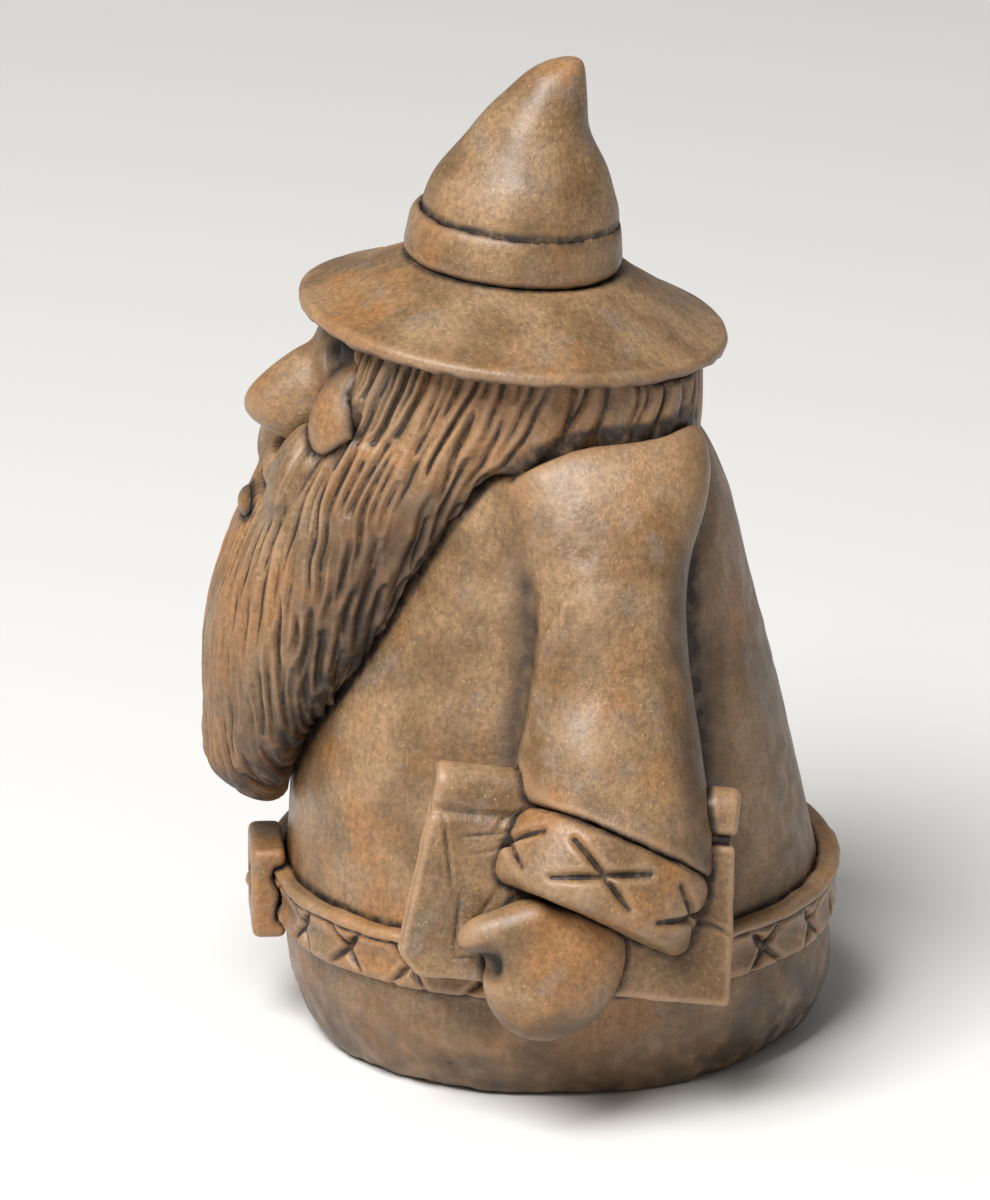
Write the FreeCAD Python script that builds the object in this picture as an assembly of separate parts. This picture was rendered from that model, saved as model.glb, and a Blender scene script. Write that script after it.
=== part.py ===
import FreeCAD, Part
import math
import os

# A stout bearded figure in a robe and a pointed hat, hand-modelled in clay from pieces that are
# pressed onto each other. Lengths are in millimetres and angles in degrees. +Z is up, the origin
# is on the floor under the middle of the base, the figure faces -Y and its left side is +X.
# A table of shares gives places and sizes as shares of the named sizes above it.

# Robe, an egg-shaped body on a flat base. The shares are of its height, half width, front, back.
robe_height = 62.4
robe_half_width = 25.4
robe_front = 25.0
robe_back = 26.5
robe_roundness = 2.1
robe_shares = [
    (0.000, 0.827, 0.820, 0.811),
    (0.014, 0.913, 0.912, 0.902),
    (0.042, 0.952, 0.942, 0.954),
    (0.088, 0.988, 0.980, 0.990),
    (0.160, 0.993, 0.999, 0.982),
    (0.288, 0.969, 0.988, 0.928),
    (0.442, 0.921, 0.956, 0.849),
    (0.617, 0.850, 0.836, 0.743),
    (0.813, 0.744, 0.660, 0.634),
    (0.922, 0.627, 0.515, 0.525),
    (0.978, 0.433, 0.340, 0.358),
]

# Belt, a strip round the robe with a raised upper rim. The shares are of its height and how far
# it stands proud of the robe.
belt_low = 10.8
belt_height = 5.4
belt_proud = 1.5
belt_shares = [(0.00, 0.60), (0.15, 0.95), (0.60, 0.85), (0.80, 1.15), (0.95, 1.10), (1.00, 0.80)]

# Buckle, a square frame on the front of the belt with one bar across it.
buckle_side = 8.8
buckle_bar = 2.3
buckle_proud = 1.9
buckle_sink = 1.3
buckle_corner = 0.7
prong_width = 1.7
prong_proud = 0.4
prong_overlap = 1.0

# Arms. The shares are of the drop from the shoulder to the sleeve's end, of the reach from the
# shoulder's middle to the end's, of the half width fore and aft, of the half thickness from side
# to side, and of the turn that squares the end to the cuff.
shoulder_rise = 0.8
shoulder_middle = 10.0
shoulder_back_step = 3.8
sleeve_end_rise = 15.6
sleeve_end_back_step = 4.1
sleeve_half_width = 9.2
sleeve_half_thickness = 7.7
sleeve_roundness = 2.2
shoulder_height = robe_height + shoulder_rise
sleeve_end_height = belt_low + sleeve_end_rise
sleeve_shares = [
    (0.000, 0.00, 0.80, 0.42, 0.0),
    (0.040, 0.06, 1.00, 0.72, 0.0),
    (0.170, 0.25, 1.09, 0.84, 0.0),
    (0.325, 0.43, 0.85, 0.86, 0.0),
    (0.455, 0.54, 0.75, 0.87, 0.0),
    (0.630, 0.67, 0.81, 0.90, 0.2),
    (0.810, 0.83, 0.94, 0.96, 0.6),
    (1.000, 1.00, 1.00, 1.00, 1.0),
]

# Cuffs, thick turned-back bands square to the lower arm, and the hands that come out of them.
# The press is how deep a hand wraps over what it holds. The shares are of a cuff's depth and half
# widths, and of a thumb's length and thickness.
cuff_pitch = 26.0
cuff_splay = 24.0
cuff_half_width = 9.6
cuff_half_thickness = 8.2
cuff_depth = 7.6
cuff_shares = [(0.00, 0.90), (0.14, 0.99), (0.50, 1.00), (0.86, 0.99), (1.00, 0.88)]
hand_length = 15.6
hand_width = 12.6
hand_thickness = 9.0
hand_tuck = 4.0
hand_forward = 1.4
hand_press = 4.3
thumb_length = 8.6
thumb_thickness = 4.8
thumb_rise = 4.2
thumb_forward = 0.6
thumb_out = 1.2
thumb_slope = 12.0
thumb_shares = [(0.00, 1.10), (0.45, 1.00), (0.75, 0.80), (0.93, 0.48)]

# Book, closed and held against the hip with its spine up. The belt carries it. It is a little
# wider at its foot than at its spine.
book_spine_length = 27.6
book_foot_length = 30.6
book_foot_step = 1.7
book_height = 19.6
book_thickness = 4.0
book_board = 1.0
book_page_inset = 0.8
book_spine_radius = 2.1
book_corner = 1.8
book_groove_depth = 0.5
book_groove_width = 1.0
book_rise = 2.0
book_forward = 0.9
book_lean = 13.0
book_turn = 7.2
book_seat = 0.3
book_low = belt_low + book_rise

# Head, an egg on the robe and under the hat, and what is pressed onto its front.
head_height = 21.0
head_half_width = 14.6
head_front = 16.6
head_back = 16.0
head_rise = 1.6
head_forward = 5.8
head_middle_height = robe_height + head_rise
nose_length = 8.5
nose_half_width = 3.7
nose_half_height = 4.1
nose_root_rise = 2.3
nose_droop = 1.2
nose_root_depth = 2.6
nose_shares = [
    (0.00, 1.10, 1.25),
    (0.32, 1.05, 1.10),
    (0.66, 0.82, 0.75),
    (0.87, 0.52, 0.42),
    (0.96, 0.28, 0.22),
]
cheek_step = 7.8
cheek_drop = 2.8
cheek_sink = 0.3
cheek_half_width = 4.0
cheek_half_depth = 3.6
cheek_half_height = 5.8
cheek_slope = 22.0
socket_step = 5.8
socket_rise = 3.2
socket_radius = 2.8
eye_radius = 1.5
eye_sink = 2.0

# Moustache, a drooping lobe on each side of the mouth, and the lip below it, all on the beard.
moustache_length = 9.4
moustache_width = 7.4
moustache_half_depth = 2.2
moustache_sink = 0.9
moustache_step = 6.6
moustache_drop = 7.9
moustache_spread = 14.0
moustache_slope = 25.0
lip_width = 8.0
lip_height = 2.8
lip_depth = 3.2
lip_drop = 13.2
lip_sink = 0.9

# Beard, from the head's sides down to a rounded point over the belt. The shares are of its height,
# its half width, and of how far its front, its widest place and its root stand ahead of the origin.
beard_rise = 10.6
beard_top_drop = 3.5
beard_side_proud = 1.4
beard_front_proud = 7.5
beard_roundness = 2.2
beard_low = belt_low + beard_rise
beard_top = head_middle_height - beard_top_drop
beard_half_width = head_half_width + beard_side_proud
beard_front = robe_front + beard_front_proud
beard_shares = [
    (0.024, 0.17, 0.875, 0.815, 0.765),
    (0.068, 0.33, 0.950, 0.815, 0.745),
    (0.147, 0.50, 0.998, 0.810, 0.720),
    (0.290, 0.68, 1.000, 0.765, 0.610),
    (0.522, 0.87, 0.978, 0.632, 0.395),
    (0.732, 0.98, 0.885, 0.523, 0.225),
    (0.880, 1.00, 0.800, 0.405, 0.060),
    (1.000, 0.99, 0.720, 0.300, -0.060),
]

# The space in front of the face that beard and hair leave free.
face_half_width = 12.2
face_half_height = 9.2
face_depth = 12.0
face_forward = 3.0
face_rise = 1.2
face_slope = 18.0

# Hair, round the back and sides of the head between the shoulders and the hat. The shares are of
# its height, its half width, its front and its back.
hair_drop = 6.0
hair_height = 15.0
hair_proud = 1.7
hair_front = 22.5
hair_back = 13.6
hair_roundness = 3.0
hair_low = head_middle_height - hair_drop
hair_half_width = head_half_width + hair_proud
hair_shares = [
    (0.00, 0.96, 1.00, 0.98),
    (0.30, 1.00, 0.98, 1.00),
    (0.62, 0.99, 0.91, 1.00),
    (1.00, 0.90, 0.71, 0.92),
]

# Hat. The brim is a drooping disc that tilts up at the front, the band is a strip on it, and the
# crown is a cone whose tip bends back. The brim's shares are of the step from the band's foot out
# to the edge and of the drop; the crown's are of its height, its radius and its tip's backward lean.
brim_radius = 20.0
brim_drop = 5.4
brim_thickness = 1.6
brim_edge_rise = 4.5
brim_forward = 3.5
brim_tilt = 6.2
brim_shares = [(0.25, 0.30), (0.60, 0.66), (0.88, 0.93)]
brim_edge_height = head_middle_height + brim_edge_rise
band_radius = 10.3
band_taper = 0.7
band_thickness = 1.0
band_height = 5.3
band_edge = 1.4
band_forward = 4.0
band_tilt = 4.0
crown_height = 20.2
crown_sink = 1.0
crown_lean = 4.9
crown_forward = 3.0
crown_radius = band_radius - band_thickness
crown_shares = [
    (0.000, 0.985, 0.00),
    (0.233, 0.980, 0.00),
    (0.302, 0.970, 0.00),
    (0.367, 0.935, 0.00),
    (0.472, 0.850, 0.05),
    (0.566, 0.722, 0.12),
    (0.661, 0.598, 0.19),
    (0.751, 0.505, 0.32),
    (0.850, 0.390, 0.52),
    (0.946, 0.255, 0.75),
    (0.982, 0.150, 0.90),
]

SECTION_POINTS = 12
V = FreeCAD.Vector
UP = V(0, 0, 1)
AHEAD = V(0, -1, 0)
LEFT = V(1, 0, 0)
ORIGIN = V(0, 0, 0)


def section(centre, across, along, half_across, ahead, behind, roundness=2.0):
    """A closed smooth oval; a roundness above 2 makes it squarer."""
    points = []
    for step in range(SECTION_POINTS):
        turn = 2 * math.pi * step / SECTION_POINTS
        side = math.copysign(abs(math.cos(turn)) ** (2 / roundness), math.cos(turn))
        front = math.copysign(abs(math.sin(turn)) ** (2 / roundness), math.sin(turn))
        reach = ahead if front > 0 else behind
        points.append(centre + across * (half_across * side) + along * (reach * front))
    curve = Part.BSplineCurve()
    curve.interpolate(Points=points, PeriodicFlag=True)
    return Part.Wire([curve.toShape()])


def loft(sections, first_point=None, last_point=None):
    profile = list(sections)
    if first_point is not None:
        profile.insert(0, Part.Vertex(first_point))
    if last_point is not None:
        profile.append(Part.Vertex(last_point))
    return Part.makeLoft(profile, True, False)


def pebble(centre, half_x, half_y, half_z, turn=FreeCAD.Rotation()):
    """A rounded lump, turned about its centre."""
    lump = Part.makeSphere(half_x)
    if (half_y, half_z) != (half_x, half_x):
        stretch = FreeCAD.Matrix()
        stretch.scale(1, half_y / half_x, half_z / half_x)
        lump = lump.transformGeometry(stretch)
    lump.Placement = FreeCAD.Placement(centre, turn)
    return lump


def share_at(shares, place, column):
    """A column of a table of shares at a place along its first column."""
    for low, high in zip(shares, shares[1:]):
        if place <= high[0]:
            part = (place - low[0]) / (high[0] - low[0])
            return low[column] + (high[column] - low[column]) * max(part, 0)
    return shares[-1][column]


def robe_side_at(height):
    return robe_half_width * share_at(robe_shares, height / robe_height, 1)


def robe_front_at(height):
    return robe_front * share_at(robe_shares, height / robe_height, 2)


def robe_back_at(height):
    return robe_back * share_at(robe_shares, height / robe_height, 3)


def make_robe():
    sections = []
    for height, side, front, back in robe_shares:
        sections.append(section(UP * (robe_height * height), LEFT, AHEAD, robe_half_width * side,
                                robe_front * front, robe_back * back, robe_roundness))
    return loft(sections, last_point=UP * robe_height)


belt_middle = belt_low + belt_height / 2
belt_side = robe_side_at(belt_middle) + belt_proud
belt_front = robe_front_at(belt_middle) + belt_proud


def make_belt():
    side, front, back = robe_side_at(belt_middle), robe_front_at(belt_middle), robe_back_at(belt_middle)
    sections = []
    for height, proud in belt_shares:
        step = belt_proud * proud
        sections.append(section(UP * (belt_low + belt_height * height), LEFT, AHEAD, side + step,
                                front + step, back + step, robe_roundness))
    return loft(sections)


def make_buckle_frame():
    depth = buckle_proud + buckle_sink
    corner = V(-buckle_side / 2, -belt_front - buckle_proud, belt_middle - buckle_side / 2)
    plate = Part.makeBox(buckle_side, depth, buckle_side, corner)
    plate = plate.makeFillet(buckle_corner, plate.Edges)
    window = buckle_side - 2 * buckle_bar
    window_corner = corner + V(buckle_bar, 0, buckle_bar)
    return plate.cut(Part.makeBox(window, depth, window, window_corner))


def make_buckle_prong():
    length = buckle_side - 2 * buckle_bar + 2 * prong_overlap
    depth = buckle_proud + prong_proud + buckle_sink
    middle = V(0, -belt_front - buckle_proud - prong_proud + depth / 2, belt_middle)
    return pebble(middle, length / 2, depth / 2, prong_width / 2)


def cuff_axis(side):
    """The way the lower arm points: down, forward and out."""
    out = side * math.tan(math.radians(cuff_splay))
    ahead = math.tan(math.radians(cuff_pitch))
    axis = LEFT * out + AHEAD * ahead - UP
    return axis.normalize()


def square_to(axis):
    """Two directions square to an axis: from side to side, and ahead."""
    across = (LEFT - axis * LEFT.dot(axis)).normalize()
    along = axis.cross(across)
    return across, along if along.dot(AHEAD) > 0 else -along


arm_run = cuff_depth + hand_length / 2 - hand_tuck


def hand_middle(side, carried):
    """The middle of a hand that lies on the belt, or on the book that the belt carries."""
    return sleeve_end(side, carried) + cuff_axis(side) * arm_run + AHEAD * hand_forward


def sleeve_end(side, carried):
    reach = belt_side + carried + hand_thickness / 2 - hand_press
    reach -= abs(cuff_axis(side).x) * arm_run
    return V(side * reach, sleeve_end_back_step, sleeve_end_height)


def make_sleeve(side, carried):
    top = V(side * shoulder_middle, shoulder_back_step, shoulder_height)
    end = sleeve_end(side, carried)
    sections = []
    for drop, reach, width, thickness, squared in sleeve_shares:
        middle = V(top.x + (end.x - top.x) * reach, top.y + (end.y - top.y) * drop,
                   top.z + (end.z - top.z) * drop)
        axis = (cuff_axis(side) * squared - UP * (1 - squared)).normalize()
        across, along = square_to(axis)
        half = sleeve_half_width * width
        sections.append(section(middle, across, along, sleeve_half_thickness * thickness,
                                half, half, sleeve_roundness))
    return loft(sections)


def make_cuff(side, carried):
    axis = cuff_axis(side)
    across, along = square_to(axis)
    start = sleeve_end(side, carried)
    sections = []
    for depth, width in cuff_shares:
        half = cuff_half_width * width
        sections.append(section(start + axis * (cuff_depth * depth), across, along,
                                cuff_half_thickness * width, half, half, sleeve_roundness))
    return loft(sections)


def make_hand(side, carried):
    turn = FreeCAD.Rotation(UP, -cuff_axis(side))
    return pebble(hand_middle(side, carried), hand_thickness / 2, hand_width / 2, hand_length / 2, turn)


def make_thumb(side, carried):
    start = hand_middle(side, carried) + UP * thumb_rise + LEFT * (side * thumb_out)
    start += AHEAD * thumb_forward
    pointing = FreeCAD.Rotation(LEFT, thumb_slope).multVec(AHEAD)
    sections = []
    for along, width in thumb_shares:
        half = thumb_thickness / 2 * width
        sections.append(section(start + pointing * (thumb_length * along), LEFT, UP, half, half, half))
    return loft(sections, last_point=start + pointing * thumb_length)


def placed_book(shape):
    """From the book's own frame, with its inner face on X = 0 and its foot's middle at the origin."""
    foot = belt_side - book_seat
    foot += math.tan(math.radians(book_lean)) * (belt_low + belt_height - book_low)
    turn = FreeCAD.Rotation(-AHEAD, -book_lean) * FreeCAD.Rotation(LEFT, -book_turn)
    shape.Placement = FreeCAD.Placement(V(foot, -book_forward, book_low), turn)
    return shape


book_spine_height = book_height - book_spine_radius
book_foot_front = book_spine_length / 2 + book_foot_step
book_foot_back = book_foot_length - book_foot_front


def book_slab(inner, thickness, low, inset):
    """A slab of the book's outline from foot to spine, drawn in at its foot and its two ends."""
    corners = [(inset - book_foot_front, low + book_corner), (inset - book_foot_front + book_corner, low),
               (book_foot_back - inset, low),
               (book_spine_length / 2 - inset, book_spine_height),
               (inset - book_spine_length / 2, book_spine_height)]
    points = [V(inner, along, height) for along, height in corners]
    return Part.Face(Part.makePolygon(points + points[:1])).extrude(LEFT * thickness)


def make_book_cover():
    inner_board = book_slab(0, book_board, 0, 0)
    outer_board = book_slab(book_thickness - book_board, book_board, 0, 0)
    spine = Part.makeCylinder(book_spine_radius, book_spine_length,
                              V(book_thickness / 2, -book_spine_length / 2, book_spine_height), -AHEAD)
    groove = Part.makeBox(book_groove_depth, book_foot_length, book_groove_width,
                          V(book_thickness - book_groove_depth, -book_foot_length / 2,
                            book_spine_height - book_spine_radius - book_groove_width / 2))
    return spine.fuse([inner_board, outer_board]).cut(groove).removeSplitter()


def make_book_pages():
    return book_slab(book_board, book_thickness - 2 * book_board, book_page_inset, book_page_inset)


def make_head():
    middle = AHEAD * head_forward + UP * head_middle_height
    head = pebble(middle, head_half_width, (head_front + head_back) / 2, head_height / 2)
    for side in (1, -1):
        socket = on_face(side * socket_step, socket_rise)
        head = head.cut(pebble(socket, socket_radius, socket_radius, socket_radius))
    return head


head_face = head_forward + head_front


def make_nose():
    start = AHEAD * (head_face - nose_root_depth) + UP * (head_middle_height - nose_root_rise)
    end = start + AHEAD * nose_length - UP * nose_droop
    sections = []
    for along, width, height in nose_shares:
        middle = start + (end - start) * along
        half = nose_half_height * height
        sections.append(section(middle, LEFT, UP, nose_half_width * width, half, half))
    return loft(sections, last_point=end)


def on_face(step, rise):
    """A point of the head's front, at a step from its middle line and a rise over its middle."""
    sunk = math.sqrt(1 - (step / head_half_width) ** 2 - (2 * rise / head_height) ** 2)
    return V(step, 0, head_middle_height + rise) + AHEAD * (head_forward + head_front * sunk)


def make_cheek(side):
    middle = on_face(side * cheek_step, -cheek_drop) - AHEAD * cheek_sink
    return pebble(middle, cheek_half_width, cheek_half_depth, cheek_half_height,
                  FreeCAD.Rotation(LEFT, -cheek_slope))


def make_eye(side):
    middle = on_face(side * socket_step, socket_rise) - AHEAD * eye_sink
    return pebble(middle, eye_radius, eye_radius, eye_radius)


beard_height = beard_top - beard_low


def on_beard(step, height):
    """A point of the beard's front, at a step from its middle line."""
    place = (height - beard_low) / beard_height
    side, front, middle = (share_at(beard_shares, place, column) for column in (1, 2, 3))
    sunk = 1 - (abs(step) / (beard_half_width * side)) ** beard_roundness
    reach = middle + (front - middle) * sunk ** (1 / beard_roundness)
    return V(step, 0, height) + AHEAD * (beard_front * reach)


def make_moustache(side):
    middle = on_beard(side * moustache_step, head_middle_height - moustache_drop)
    middle -= AHEAD * moustache_sink
    turn = FreeCAD.Rotation(-AHEAD, -side * moustache_spread) * FreeCAD.Rotation(LEFT, -moustache_slope)
    return pebble(middle, moustache_width / 2, moustache_half_depth, moustache_length / 2, turn)


def make_lip():
    middle = on_beard(0, head_middle_height - lip_drop) - AHEAD * lip_sink
    return pebble(middle, lip_width / 2, lip_depth / 2, lip_height / 2)


def make_beard():
    sections = []
    for height, side, front, middle, root in beard_shares:
        centre = AHEAD * (beard_front * middle) + UP * (beard_low + beard_height * height)
        sections.append(section(centre, LEFT, AHEAD, beard_half_width * side,
                                beard_front * (front - middle), beard_front * (middle - root),
                                beard_roundness))
    tip = AHEAD * (beard_front * beard_shares[0][3]) + UP * beard_low
    return loft(sections, first_point=tip)


def make_face_opening():
    middle = AHEAD * (head_face + face_forward) + UP * (head_middle_height + face_rise)
    return pebble(middle, face_half_width, face_depth, face_half_height,
                  FreeCAD.Rotation(LEFT, -face_slope))


def make_hair():
    sections = []
    for height, side, front, back in hair_shares:
        sections.append(section(UP * (hair_low + hair_height * height), LEFT, AHEAD,
                                hair_half_width * side, hair_front * front, hair_back * back,
                                hair_roundness))
    return loft(sections)


def placed_on_brim(shape, tilt, forward):
    shape.Placement = FreeCAD.Placement(AHEAD * forward + UP * brim_edge_height,
                                        FreeCAD.Rotation(LEFT, -tilt))
    return shape


def make_brim():
    half = brim_thickness / 2
    step = brim_radius - half - band_radius
    foot = V(band_radius, 0, brim_drop)
    edge = V(brim_radius - half, 0, half)
    top = [foot] + [V(band_radius + step * out, 0, brim_drop - (brim_drop - half) * down)
                    for out, down in brim_shares] + [edge]
    low = [point - UP * brim_thickness for point in top]
    upper = Part.BSplineCurve()
    upper.interpolate(Points=top)
    lower = Part.BSplineCurve()
    lower.interpolate(Points=low)
    rim = Part.Arc(edge, V(brim_radius, 0, 0), edge - UP * brim_thickness)
    axis_low = UP * low[0].z
    axis_top = UP * brim_drop
    outline = [upper, rim, lower, Part.LineSegment(low[0], axis_low),
               Part.LineSegment(axis_low, axis_top), Part.LineSegment(axis_top, foot)]
    face = Part.Face(Part.Wire([Part.Edge(curve) for curve in outline]))
    return placed_on_brim(face.revolve(ORIGIN, UP, 360), brim_tilt, brim_forward)


def make_band():
    drum = Part.makeCone(band_radius, band_radius - band_taper, band_height,
                         UP * (brim_drop - brim_thickness / 4))
    rims = [edge for edge in drum.Edges if edge.Closed]
    return placed_on_brim(drum.makeFillet(band_edge, rims), band_tilt, band_forward)


def make_crown():
    foot = brim_edge_height + brim_drop - crown_sink
    sections = []
    for height, radius, lean in crown_shares:
        middle = V(0, crown_lean * lean - crown_forward, foot + crown_height * height)
        size = crown_radius * radius
        sections.append(section(middle, LEFT, AHEAD, size, size, size))
    return loft(sections, last_point=V(0, crown_lean - crown_forward, foot + crown_height))


def make_book():
    return {"book_cover": placed_book(make_book_cover()), "book_pages": placed_book(make_book_pages())}


def make_arm(name, side, carried):
    return {
        name + "_sleeve": make_sleeve(side, carried),
        name + "_cuff": make_cuff(side, carried),
        name + "_hand": make_hand(side, carried),
        name + "_thumb": make_thumb(side, carried),
    }


def make_face(name, side):
    return {
        name + "_cheek": make_cheek(side),
        name + "_moustache": make_moustache(side),
        name + "_eye": make_eye(side),
    }


# Where two pieces would fill the same space, the one named first gives way to the others.
GIVES_WAY = {
    "belt": ["robe_body"],
    "buckle_frame": ["belt"],
    "buckle_prong": ["belt", "buckle_frame"],
    "hat_crown": ["hat_brim"],
    "hat_band": ["hat_brim", "hat_crown"],
    "head": ["robe_body", "hat_brim", "hat_crown"],
    "beard": ["robe_body", "head"],
    "hair": ["robe_body", "hat_brim", "head", "beard"],
    "nose": ["hat_brim", "head", "beard"],
    "lower_lip": ["beard", "left_moustache", "right_moustache"],
    "book_cover": ["robe_body", "belt"],
    "book_pages": ["robe_body", "belt", "book_cover"],
}
GIVES_WAY_ON_EACH_SIDE = {
    "_cheek": ["head", "beard", "hair", "nose"],
    "_moustache": ["head", "beard", "nose", "_cheek"],
    "_eye": ["hat_brim", "head", "hair", "nose", "_cheek"],
    "_sleeve": ["book_cover", "book_pages", "robe_body", "beard", "hair"],
    "_cuff": ["robe_body", "belt", "book_cover", "book_pages", "_sleeve"],
    "_hand": ["robe_body", "belt", "book_cover", "book_pages", "_sleeve", "_cuff"],
    "_thumb": ["robe_body", "belt", "book_cover", "book_pages", "_cuff", "_hand"],
}


def carved(form, neighbours):
    """What a form keeps outside its neighbours' forms, without stray offcuts."""
    for neighbour in neighbours:
        if form.BoundBox.intersect(neighbour.BoundBox):
            form = max(form.copy().cut(neighbour.copy()).Solids, key=lambda solid: solid.Volume)
    return form


def make_pieces():
    opening = make_face_opening()
    forms = {
        "robe_body": make_robe(),
        "belt": make_belt(),
        "buckle_frame": make_buckle_frame(),
        "buckle_prong": make_buckle_prong(),
        "hat_brim": make_brim(),
        "hat_crown": make_crown(),
        "hat_band": make_band(),
        "head": make_head(),
        "beard": make_beard().cut(opening),
        "hair": make_hair().cut(opening),
        "nose": make_nose(),
        "lower_lip": make_lip(),
    }
    forms.update(make_book())
    gives_way = dict(GIVES_WAY)
    for name, side, carried in (("left", 1, book_thickness), ("right", -1, 0)):
        forms.update(make_face(name, side))
        forms.update(make_arm(name, side, carried))
        for kind, others in GIVES_WAY_ON_EACH_SIDE.items():
            gives_way[name + kind] = [name + other if other[0] == "_" else other for other in others]
    return {name: carved(form, [forms[other] for other in gives_way.get(name, [])])
            for name, form in forms.items()}


os.makedirs("parts", exist_ok=True)
for node, shape in make_pieces().items():
    shape.exportStep("parts/" + node + ".step")
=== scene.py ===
"""The looks of a small hand-modelled clay figure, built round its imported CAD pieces."""
import bmesh
import bpy
import itertools
import math
import numpy as np
from mathutils import Matrix, Vector
from mathutils.bvhtree import BVHTree


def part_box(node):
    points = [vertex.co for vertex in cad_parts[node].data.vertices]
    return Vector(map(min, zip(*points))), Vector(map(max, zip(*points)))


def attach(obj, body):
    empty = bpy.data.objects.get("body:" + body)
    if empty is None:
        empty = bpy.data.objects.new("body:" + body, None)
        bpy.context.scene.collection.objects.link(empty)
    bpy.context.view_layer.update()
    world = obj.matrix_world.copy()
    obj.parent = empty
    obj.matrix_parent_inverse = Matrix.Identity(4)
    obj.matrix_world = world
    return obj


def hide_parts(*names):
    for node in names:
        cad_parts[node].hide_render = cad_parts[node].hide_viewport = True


# Shapes are worked on in millimetres, and each finished mesh is scaled to metres once.
MM = 0.001

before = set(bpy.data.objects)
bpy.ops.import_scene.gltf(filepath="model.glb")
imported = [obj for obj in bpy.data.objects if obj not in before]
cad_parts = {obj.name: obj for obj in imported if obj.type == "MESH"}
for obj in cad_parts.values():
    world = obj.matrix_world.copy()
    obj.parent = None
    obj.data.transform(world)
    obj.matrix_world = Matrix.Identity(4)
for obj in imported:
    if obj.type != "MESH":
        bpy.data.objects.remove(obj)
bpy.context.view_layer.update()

# Camera, at the photograph's viewing angle
CAMERA_AZIMUTH = math.radians(86.0)
CAMERA_ELEVATION = math.radians(19.4)
CAMERA_DISTANCE = 900 * MM
CAMERA_TARGET = Vector((0, -5.2, 40.7)) * MM
VIEW_HEIGHT = 111.6 * MM
SENSOR_HEIGHT = 24
CLIP_NEAR = 10 * MM
CLIP_FAR = 20


def outward(azimuth, elevation):
    """The direction from the figure to a camera or lamp, with azimuth 0 straight ahead of it."""
    return Vector((math.sin(azimuth) * math.cos(elevation), -math.cos(azimuth) * math.cos(elevation),
                   math.sin(elevation)))


def make_camera():
    toward = outward(CAMERA_AZIMUTH, CAMERA_ELEVATION)
    camera = bpy.data.objects.new("camera", bpy.data.cameras.new("camera"))
    bpy.context.collection.objects.link(camera)
    camera.location = CAMERA_TARGET + toward * CAMERA_DISTANCE
    camera.rotation_euler = (-toward).to_track_quat("-Z", "Y").to_euler()
    camera.data.sensor_fit = "VERTICAL"
    camera.data.sensor_height = SENSOR_HEIGHT
    camera.data.lens = SENSOR_HEIGHT * CAMERA_DISTANCE / VIEW_HEIGHT
    camera.data.clip_start = CLIP_NEAR
    camera.data.clip_end = CLIP_FAR
    bpy.context.scene.camera = camera


make_camera()

# Noise and blending on arrays of points. A span is the two values between which something rises.
LATTICE = 32


def lumps(points, size, seed):
    """Smooth noise from -1 to 1 whose lumps are about a size across."""
    table = np.random.default_rng(seed).uniform(-1, 1, (LATTICE, LATTICE, LATTICE))
    scaled = points / size
    cell = np.floor(scaled).astype(int)
    part = scaled - cell
    part = part * part * (3 - 2 * part)
    total = np.zeros(len(points))
    for corner in itertools.product((0, 1), repeat=3):
        weight = np.prod(np.where(corner, part, 1 - part), axis=1)
        across, along, up = ((cell + corner) % LATTICE).T
        total += weight * table[across, along, up]
    return total


def rise(values, low, high):
    """0 below the low value, 1 above the high one, and smooth between them."""
    share = np.clip((values - low) / (high - low), 0, 1)
    return share * share * (3 - 2 * share)


def bump_at(values, middle, width):
    """1 at the middle, fading to 0 a width or two from it."""
    return np.exp(-((values - middle) / width) ** 2)


# Meshes
WELD = 0.001


def joined_form(nodes):
    """Copies of CAD nodes in one loose mesh, in millimetres."""
    form = bmesh.new()
    for node in nodes:
        form.from_mesh(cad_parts[node].data)
    bmesh.ops.scale(form, vec=Vector((1, 1, 1)) / MM, verts=form.verts)
    bmesh.ops.remove_doubles(form, verts=form.verts, dist=WELD)
    return form


def remade(name, nodes, voxel, grow):
    """An object whose mesh goes round copies of CAD nodes in small even faces."""
    form = joined_form(nodes)
    form.normal_update()
    for vertex in form.verts:
        vertex.co += vertex.normal * grow
    rough = bpy.data.meshes.new(name)
    form.to_mesh(rough)
    form.free()
    piece = bpy.data.objects.new(name, rough)
    bpy.context.collection.objects.link(piece)
    remesh = piece.modifiers.new("Remesh", "REMESH")
    remesh.mode = "VOXEL"
    remesh.voxel_size = voxel
    graph = bpy.context.evaluated_depsgraph_get()
    even = bpy.data.meshes.new_from_object(piece.evaluated_get(graph))
    piece.modifiers.clear()
    piece.data = even
    bpy.data.meshes.remove(rough)
    return piece


def points_of(mesh):
    points = np.empty(3 * len(mesh.vertices), np.float32)
    mesh.vertices.foreach_get("co", points)
    return points.reshape(-1, 3).astype(float)


def normals_of(mesh, points):
    """Puts the points into the mesh and gives back its normals there."""
    mesh.vertices.foreach_set("co", points.astype(np.float32).ravel())
    mesh.update()
    normals = np.empty(3 * len(mesh.vertices), np.float32)
    mesh.vertex_normals.foreach_get("vector", normals)
    return normals.reshape(-1, 3).astype(float)


def edges_of(mesh):
    ends = np.empty(2 * len(mesh.edges), np.int32)
    mesh.edges.foreach_get("vertices", ends)
    return ends.reshape(-1, 2).T


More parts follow.
